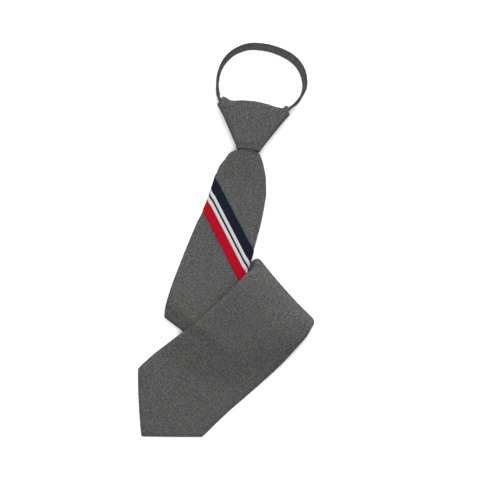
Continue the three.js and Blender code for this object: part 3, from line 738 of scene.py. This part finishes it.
# Knot
# The ready-tied knot: wool wrapped over a stiff former and sewn behind, hollow so that the neck band can
# run through it. Its top corners stand up as two small folded ears, and its mouth arches over the blade.
KNOT_TOP_WIDTH = 0.063
KNOT_HEIGHT = 0.0353
KNOT_ARCH = 0.002
BAND_WIDTH = 0.008
BAND_ROOM = 0.002
# Round the section from the left: shares of half the width, of the depth, of the height and of the arch
KNOT_SECTION = [
    (-1, 0.45, 1, 0), (-0.985, 0.8, 1, 0), (-0.93, 0.95, 1.09, 0.2), (-0.87, 1, 1.18, 0.35),
    (-0.65, 1.04, 1.11, 0.65), (-0.33, 1.08, 1.152, 0.9), (0, 1.1, 1.172, 1),
    (0.33, 1.08, 1.152, 0.9), (0.65, 1.04, 1.11, 0.65), (0.79, 1.02, 1.105, 0.45),
    (0.9, 1, 1.18, 0.3), (0.94, 0.95, 1.09, 0.2), (0.985, 0.8, 1, 0), (1, 0.45, 1, 0),
    (0.965, 0.14, 1, 0), (0.88, 0, 1, 0), (0, 0, 1, 0), (-0.88, 0, 1, 0), (-0.965, 0.14, 1, 0),
]
KNOT_SPANS = 6  # fine points between two rows of the section
KNOT_RINGS = 34
# How far the left and the right side are drawn in, at a height up the knot
KNOT_WAIST = [
    (0, 0.0007, 0), (0.004, 0.0015, 0.0003), (0.012, 0.0014, 0.0004), (0.024, 0.00125, 0.0005),
    (0.030, 0.0007, 0.0004), (0.034, 0, 0), (0.045, 0, 0),
]
LIP_DROP = 0.06  # share of its height that the knot loses where it rounds in to the mouth
LIP_RUN = 0.16
LIP_OUT = 0.012  # how far the rims' rounding stands out, as a share of the knot's height

mouth_depth = neck_floor + NECK_THICK + FIT_GAP + KNOT_WALL
top_depth = max(mouth_depth, strap_floor + BAND_WIDTH + BAND_ROOM + KNOT_WALL)


def knot_outline():
    """The knot's section as close points round it."""
    rows = np.array(KNOT_SECTION + KNOT_SECTION[:1], float)
    step = np.hypot(np.diff(rows[:, 0]), np.diff(rows[:, 1]) * 0.4) + 0.01
    knots = np.concatenate([[0], np.cumsum(step)])
    places = np.interp(np.arange((len(rows) - 1) * KNOT_SPANS) / KNOT_SPANS, np.arange(len(rows)), knots)
    return curve_through(knots, rows, places)


def knot_grid():
    """Up the outside from the mouth to the ears, over the rim, and down the inside to the mouth again."""
    outline = knot_outline()
    shares = smooth(np.linspace(0, 1, KNOT_RINGS)) * 0.35 + np.linspace(0, 1, KNOT_RINGS) * 0.65
    lip = np.linspace(0, pi, 7)
    profile = [(share, 0.0) for share in shares]
    profile += [(1 + LIP_OUT * sin(turn), (1 - cos(turn)) / 2) for turn in lip[1:-1]]
    profile += [(share, 1.0) for share in shares[::-1]]
    profile += [(-LIP_OUT * sin(turn), (1 + cos(turn)) / 2) for turn in lip[1:-1]]
    waist = np.array(KNOT_WAIST)
    points, cloth = [], []
    for share, inside in profile:
        ring = []
        wall = inside * KNOT_WALL
        for across, depth, top, arch in outline:
            up = arch * KNOT_ARCH + (top * KNOT_HEIGHT - arch * KNOT_ARCH) * share
            grown = np.clip(up / KNOT_HEIGHT, 0, 1)
            half = (KNOT_MOUTH_WIDTH + (KNOT_TOP_WIDTH - KNOT_MOUTH_WIDTH) * grown) / 2 - wall
            deep = mouth_depth + (top_depth - mouth_depth) * grown - 2 * wall
            deep *= 1 - LIP_DROP * (1 - smooth(share / LIP_RUN))
            half -= curve_through(waist[:, 0], waist[:, 1 if across < 0 else 2], up)[0, 0]
            ring.append(knot_point(across * half, up, wall + depth * deep))
        around = np.cumsum(np.linalg.norm(np.diff(ring + ring[:1], axis=0) * (1, 0, 1), axis=1))
        around = np.concatenate([[0], around]) - around[len(ring) * 3 // 10]  # from the front's middle
        points.append(ring)
        cloth.append([(place, share * KNOT_HEIGHT) for place in around])
    points.append(points[0])
    cloth.append(cloth[0])
    return np.array(points), np.array(cloth)


knot_wool = wool("knot_wool", 38, WOOL_SHADES, 71.0)
knot_points, knot_cloth = knot_grid()
knot = grid_mesh("wrapped_knot", knot_points, knot_cloth, knot_wool, capped=False)
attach(knot, "root")
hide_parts("knot_cover")


# Neck band
# A narrow strap of the same wool, folded lengthwise and pressed; painted light makes its colour lighter
# and painted shade darkens its edges.
# It stands on its edge round the neck loop and runs down through both ears of the knot, and its two ends
# lie flat behind the blade as the tail.
LOOP_WIDTH = 0.074
LOOP_HEIGHT = 0.050
LOOP_FOOT = 1.11  # where it begins, as a share of the knot's height
CHAIN_WIDTH = 0.003
TAB_LENGTH = 0.008
TAIL_ROOM = 0.008
# Places along the loop and along the strands in the knot: shares across and up, and degrees of lean.
# The strands' rows also say how far the strap has narrowed to the width that goes through the mouth.
LOOP_ROWS = [
    (-0.862, 0.098, -9), (-0.914, 0.308, 2), (-0.897, 0.512, 7), (-0.801, 0.696, 18),
    (-0.643, 0.841, 25), (-0.339, 0.971, 34), (-0.022, 1.005, 39), (0.282, 0.989, 40),
    (0.608, 0.922, 45), (0.831, 0.827, 40), (1.006, 0.67, 32), (1.093, 0.469, 19),
    (1.086, 0.362, 11), (0.984, 0.164, -5),
]
LEFT_STRAND_ROWS = [
    (0.93, 1.11, 10, 0), (0.74, 0.88, 6, 0.3), (0.46, 0.56, 50, 0.7),
]
RIGHT_STRAND_ROWS = [
    (0.92, 1.11, 10, 0), (0.72, 0.88, 12, 0.3), (0.45, 0.56, 50, 0.7),
]
BAND_STEPS = 9  # fine stations between two rows
BAND_ROUND = 0.00085
# The strap is the same wool as the blade; its shades are painted lighter as painted light, because its
# steep faces get less of the lamps' light
BAND_PAINTED_LIGHT = 1.2  # the blade's wool painted lighter for the strap: painted light for its steep faces

strand_width = neck_half - 2 * FIT_GAP - CHAIN_WIDTH / 2
strand_mid = CHAIN_WIDTH / 2 + 2 * FIT_GAP + strand_width / 2


def tail_reach():
    """How far the tail reaches: a little short of leg 2's upper edge."""
    ends = [first_fold[-1][0] - MOUTH, second_fold[0][0] - MOUTH]
    (a, from_a), (b, from_b) = [(end @ leg_axis, end @ leg_across) for end in ends]
    return a + (b - a) * (neck_half - from_a) / (from_b - from_a) - TAIL_ROOM


def band_stations():
    """Rows of plan point, lean, base height and width, from one end of the tail round to the other."""
    strand_end = tail_reach() - TAB_LENGTH - FIT_GAP
    tail_places = (strand_end, strand_end / 2, NECK_GRIP, NECK_GRIP / 3)

    def tail(side):
        return [(leg_point(along, side * strand_mid, 0), 90, 0, strand_width) for along in tail_places]

    def mouth(side):
        spots = ((strand_mid, 0), (strand_mid + BAND_WIDTH / 2, NECK_GRIP + BAND_THICK))
        return [(knot_point(side * across, up, 0), 90, strap_floor, strand_width) for across, up in spots]

    def ear(side, rows):
        return [
            (
                knot_point(side * across * KNOT_TOP_WIDTH / 2, up * KNOT_HEIGHT, 0),
                lean, strap_floor, BAND_WIDTH + (strand_width - BAND_WIDTH) * narrow,
            )
            for across, up, lean, narrow in rows
        ]

    loop_foot = KNOT_HEIGHT * LOOP_FOOT
    loop = [
        (knot_point(across * LOOP_WIDTH / 2, loop_foot + up * LOOP_HEIGHT, 0), lean, 0, BAND_WIDTH)
        for across, up, lean in LOOP_ROWS
    ]
    return (
        tail(-1) + mouth(-1) + ear(-1, LEFT_STRAND_ROWS)[::-1] + loop
        + ear(1, RIGHT_STRAND_ROWS) + mouth(1)[::-1] + tail(1)[::-1]
    )


def round_curve(points, per_span):
    """A centripetal curve through points, with per_span steps from one to the next."""
    points = np.array(points)
    ends = np.vstack([2 * points[0] - points[1], points, 2 * points[-1] - points[-2]])
    gaps = np.sqrt(np.linalg.norm(np.diff(ends, axis=0), axis=1))
    fine = []
    for k in range(1, len(ends) - 2):
        before, span, after = gaps[k - 1], gaps[k], gaps[k + 1]
        a, b, c, d = ends[k - 1:k + 3]
        leave = span * ((b - a) / before - (c - a) / (before + span) + (c - b) / span)
        arrive = span * ((c - b) / span - (d - b) / (span + after) + (d - c) / after)
        fine.extend(hermite(b, c, leave, arrive, t) for t in np.arange(per_span) / per_span)
    fine.append(points[-1])
    return np.array(fine)


def band_section():
    """Round an oblong with rounded corners: each point's turn about its corner, and the corner."""
    ring = []
    for quarter_turn, (side, face) in enumerate(((1, 1), (-1, 1), (-1, -1), (1, -1))):
        for step in np.linspace(0, 1, 6):
            angle = (quarter_turn + step) * pi / 2
            ring.append((cos(angle), sin(angle), side, face))
    return ring


def ring_round(middle, wide_way, thick_way, wide, thick, rounding):
    """The points of such a section, wide by thick, about its middle."""
    ring = []
    for c, s, side, face in band_section():
        across = side * (wide / 2 - rounding) + c * rounding
        out = face * (thick / 2 - rounding) + s * rounding
        ring.append(middle + across * wide_way + out * thick_way)
    return ring


def cloth_round(ring, run):
    """Places in the cloth of a ring that was wrapped from its first point round to it again."""
    around = np.cumsum(np.linalg.norm(np.diff(ring + ring[:1], axis=0), axis=1))
    return [(place, run) for place in (0, *around)]


def band_grid():
    rows = band_stations()
    path = round_curve([row[0] for row in rows], BAND_STEPS)
    places = np.arange(len(path)) / BAND_STEPS
    others = curve_through(np.arange(len(rows)), [row[1:] for row in rows], places)
    tangent = np.gradient(path, axis=0)
    tangent /= np.linalg.norm(tangent, axis=1)[:, None]
    travelled = np.concatenate([[0], np.cumsum(np.linalg.norm(np.diff(path, axis=0), axis=1))])
    points, cloth = [], []
    for point, way, (lean, base, wide), run in zip(path, tangent, others, travelled):
        outward = np.cross(UP, way)
        lean = radians(lean)
        wide_way = outward * sin(lean) + UP * cos(lean)
        thick_way = outward * cos(lean) - UP * sin(lean)
        low = abs(cos(lean)) * wide / 2 + abs(sin(lean)) * BAND_THICK / 2
        middle = point * (1, 1, 0) + (base + low) * UP
        points.append(ring_round(middle, wide_way, thick_way, wide, BAND_THICK, BAND_ROUND))
        cloth.append(cloth_round(points[-1], run))
    return np.array(points), np.array(cloth)


# Painted light: the blade's wool shades made lighter for the strap
band_painted_light_shades = [(place, *(BAND_PAINTED_LIGHT * part for part in colour)) for place, *colour in WOOL_SHADES]
band_wool = wool("band_wool", 45, band_painted_light_shades, 17.0)
band_tree = band_wool.node_tree
band_shader = band_tree.nodes["Principled BSDF"]
woven = band_shader.inputs["Base Color"].links[0].from_socket
band_place = node(band_tree, "UVMap", uv_map="cloth").outputs[0]
around = node(band_tree, "SeparateXYZ", {0: band_place}).outputs[0]
# Painted shade: the strap's colour is darkened towards both of its edges, standing in for the shade on
# its rounded edges
girth = 2 * (BAND_WIDTH + BAND_THICK) - (8 - 2 * pi) * BAND_ROUND
toward_edge = maths(band_tree, "COSINE", maths(band_tree, "MULTIPLY", around, 2 * pi / girth))
toward_edge = maths(band_tree, "ABSOLUTE", toward_edge)
painted_edge_shade = painted(band_tree, toward_edge, [(0.74, 1.0, 1.0, 1.0), (0.93, 0.55, 0.55, 0.55)])
band_layers = {0: 1.0, 6: woven, 7: painted_edge_shade}
painted_edge_shade_mix = node(band_tree, "Mix", band_layers, data_type="RGBA", blend_type="MULTIPLY")
band_tree.links.new(painted_edge_shade_mix.outputs[2], band_shader.inputs["Base Color"])
band_points, band_cloth = band_grid()
band = grid_mesh("neck_strap", band_points, band_cloth, band_wool)
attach(band, "root")
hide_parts("neck_band")


# Zip
# The zip that lets the loop out, all of it behind the knot and the blade: a nylon coil sewn to a narrow
# tape between the band's two ends, a slider held inside the knot, and a folded tab over the tail's end.
CHAIN_THICK = 0.0016
TAPE_THICK = 0.0004
TAPE_STEPS = 60
COIL_PITCH = 0.0013
COIL_WIRE = 0.00026
COIL_FROM_MIDDLE = 0.0005
COIL_WIDE = 0.0007
COIL_HIGH = 0.0005
COIL_STEPS = 12  # fine points in each turn of the coil
SLIDER_WIDTH = 0.009
SLIDER_THICK = 0.0034
CATCH_THICK = 0.001
# Distances up the slider, its catch and the tab, and shares of their width and thickness there
SLIDER_ROWS = [
    (0, 0.55, 0.5), (0.0006, 0.86, 0.86), (0.002, 1, 1), (0.006, 0.95, 1), (0.009, 0.84, 1),
    (0.0101, 0.72, 0.84), (0.0105, 0.5, 0.5),
]
CATCH_ROWS = [(0.0025, 0.14, 0.5), (0.003, 0.18, 1), (0.0076, 0.18, 1), (0.0081, 0.14, 0.5)]
TAB_ROWS = [
    (0, 0.96, 0.5), (0.0005, 0.99, 0.86), (0.0013, 1, 1), (0.0056, 1, 1), (0.0068, 0.94, 0.96),
    (0.0076, 0.86, 0.8), (0.008, 0.8, 0.5),
]
TAPE_SHADES = [(0, 0.010, 0.0103, 0.011), (0.5, 0.019, 0.0194, 0.0204), (1, 0.032, 0.0325, 0.034)]


def satin_plastic(name):
    material, tree, shader = new_material(name)
    place = node(tree, "TexCoord").outputs["Object"]
    grain = node(tree, "TexNoise", {"Vector": place, "Scale": 900.0, "Detail": 3.0}).outputs[0]
    greys = painted(tree, grain, [(0.3, 0.030, 0.031, 0.033), (0.7, 0.046, 0.047, 0.050)])
    tree.links.new(greys, shader.inputs["Base Color"])
    bumped(tree, shader, grain, 0.25, 0.00005)
    shader.inputs["Roughness"].default_value = 0.42
    return material


slider_foot = NECK_GRIP + 2 * FIT_GAP
tab_start = tail_reach() - TAB_LENGTH
chain_line = np.array([
    knot_point(0, slider_foot, strap_floor), knot_point(0, 0, strap_floor),
    leg_point(NECK_GRIP / 3, 0, 0), leg_point(tab_start, 0, 0),
])
chain_runs = np.concatenate([[0], np.cumsum(np.linalg.norm(np.diff(chain_line, axis=0), axis=1))])


def on_chain(run, across, up):
    middle = np.array([np.interp(run, chain_runs, chain_line[:, axis]) for axis in range(3)])
    return middle + across * leg_across + up * UP


def coil(name, side, material):
    """One of the two meshing coils: a nylon wire wound flat along the tape's edge."""
    runs = np.linspace(0, chain_runs[-1], ceil(chain_runs[-1] / COIL_PITCH * COIL_STEPS) + 1)
    turns = 2 * pi * runs / COIL_PITCH + (0 if side > 0 else pi)
    across = side * (COIL_FROM_MIDDLE + COIL_WIDE * np.cos(turns))
    up = CHAIN_THICK / 2 + COIL_HIGH * np.sin(turns)
    path = np.array([on_chain(*place) for place in zip(runs, across, up)])
    way = np.gradient(path, axis=0)
    first = np.cross(way, leg_axis)
    first /= np.linalg.norm(first, axis=1)[:, None]
    second = np.cross(way, first)
    second /= np.linalg.norm(second, axis=1)[:, None]
    turns_round = [(cos(k * pi / 4), sin(k * pi / 4)) for k in range(8)]
    points = [
        [spot + COIL_WIRE * (c * f + s * g) for c, s in turns_round]
        for spot, f, g in zip(path, first, second)
    ]
    cloth = [cloth_round(ring, run) for ring, run in zip(points, runs)]
    return grid_mesh(name, np.array(points), np.array(cloth), material)


def bar(name, foot, way, across, rows, wide, thick, material):
    """A rounded bar from foot on, through rows of distance and shares of its width and thickness."""
    points, cloth = [], []
    for distance, width_share, thick_share in rows:
        middle = foot + distance * way + thick / 2 * UP
        own_thick = thick * thick_share
        points.append(ring_round(middle, across, UP, wide * width_share, own_thick, own_thick * 0.45))
        cloth.append(cloth_round(points[-1], distance))
    return grid_mesh(name, np.array(points), np.array(cloth), material)


zip_plastic = satin_plastic("zip_plastic")
tape_weave = ribbed("tape_weave", TAPE_SHADES)
tape_width = CHAIN_WIDTH + 4 * FIT_GAP
tape_points, tape_cloth = [], []
for run in np.linspace(0, chain_runs[-1], TAPE_STEPS):
    tape_middle = on_chain(run, 0, CHAIN_THICK / 2)
    tape_points.append(ring_round(tape_middle, leg_across, UP, tape_width, TAPE_THICK, TAPE_THICK * 0.4))
    tape_cloth.append(cloth_round(tape_points[-1], run))
slider_place = knot_point(0, slider_foot, strap_floor)
zip_pieces = [
    grid_mesh("zip_tape", np.array(tape_points), np.array(tape_cloth), tape_weave),
    coil("zip_coil_left", -1, zip_plastic),
    coil("zip_coil_right", 1, zip_plastic),
    bar(
        "zip_slider", slider_place, knot_up, knot_across,
        SLIDER_ROWS, SLIDER_WIDTH, SLIDER_THICK, zip_plastic,
    ),
    bar(
        "slider_catch", slider_place + SLIDER_THICK * UP, knot_up, knot_across,
        CATCH_ROWS, SLIDER_WIDTH, CATCH_THICK, zip_plastic,
    ),
    bar(
        "tail_tab", leg_point(tab_start, 0, 0), leg_axis, leg_across,
        TAB_ROWS, 2 * neck_half, BAND_THICK, tape_weave,
    ),
]
for piece in zip_pieces:
    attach(piece, "root")
    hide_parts("zip_closure")


# Table, light and camera
# The tie lies on a plain white table under two wide soft lamps: one overhead, and a brighter one beyond
# the neck loop. The camera looks straight down from well above, with the tie upright in a square picture.
PICTURE_SIDE = 0.4104
CAMERA_HEIGHT = 1.6
PICTURE_MIDDLE = (0.01375, -0.00029)
MEAN_HEIGHT = 0.004

floor_mesh = bpy.data.meshes.new("table")
floor_mesh.from_pydata([(-3, -3, 0), (3, -3, 0), (3, 3, 0), (-3, 3, 0)], [], [(0, 1, 2, 3)])
floor = placed("table", floor_mesh)
floor_paint, _, floor_shader = new_material("table_white")
floor_shader.inputs["Base Color"].default_value = (0.93, 0.93, 0.93, 1)
floor_shader.inputs["Roughness"].default_value = 0.9
floor_shader.inputs["Specular IOR Level"].default_value = 0.1
floor.data.materials.append(floor_paint)

world = bpy.data.worlds.new("studio")
world.use_nodes = True
world.node_tree.nodes["Background"].inputs["Color"].default_value = (1.0, 1.0, 1.0, 1)
world.node_tree.nodes["Background"].inputs["Strength"].default_value = 0.26
bpy.context.scene.world = world
bpy.context.scene.view_settings.view_transform = "Standard"


def lamp(name, place, side, watts):
    """A square soft light that faces the middle of the table."""
    light = bpy.data.lights.new(name, "AREA")
    light.energy = watts
    light.size = side
    made = placed(name, light)
    made.location = place
    made.rotation_euler = Vector(place).to_track_quat("Z", "Y").to_euler()


lamp("overhead_light", (0.0, 0.0, 1.9), 2.4, 50)
lamp("key_light", (0.4, 1.9, 1.0), 2.0, 84)

camera_data = bpy.data.cameras.new("camera")
camera_data.sensor_width = 36
camera_data.lens = camera_data.sensor_width * (CAMERA_HEIGHT - MEAN_HEIGHT) / PICTURE_SIDE
camera = placed("camera", camera_data)
camera.location = (*PICTURE_MIDDLE, CAMERA_HEIGHT)
bpy.context.scene.camera = camera
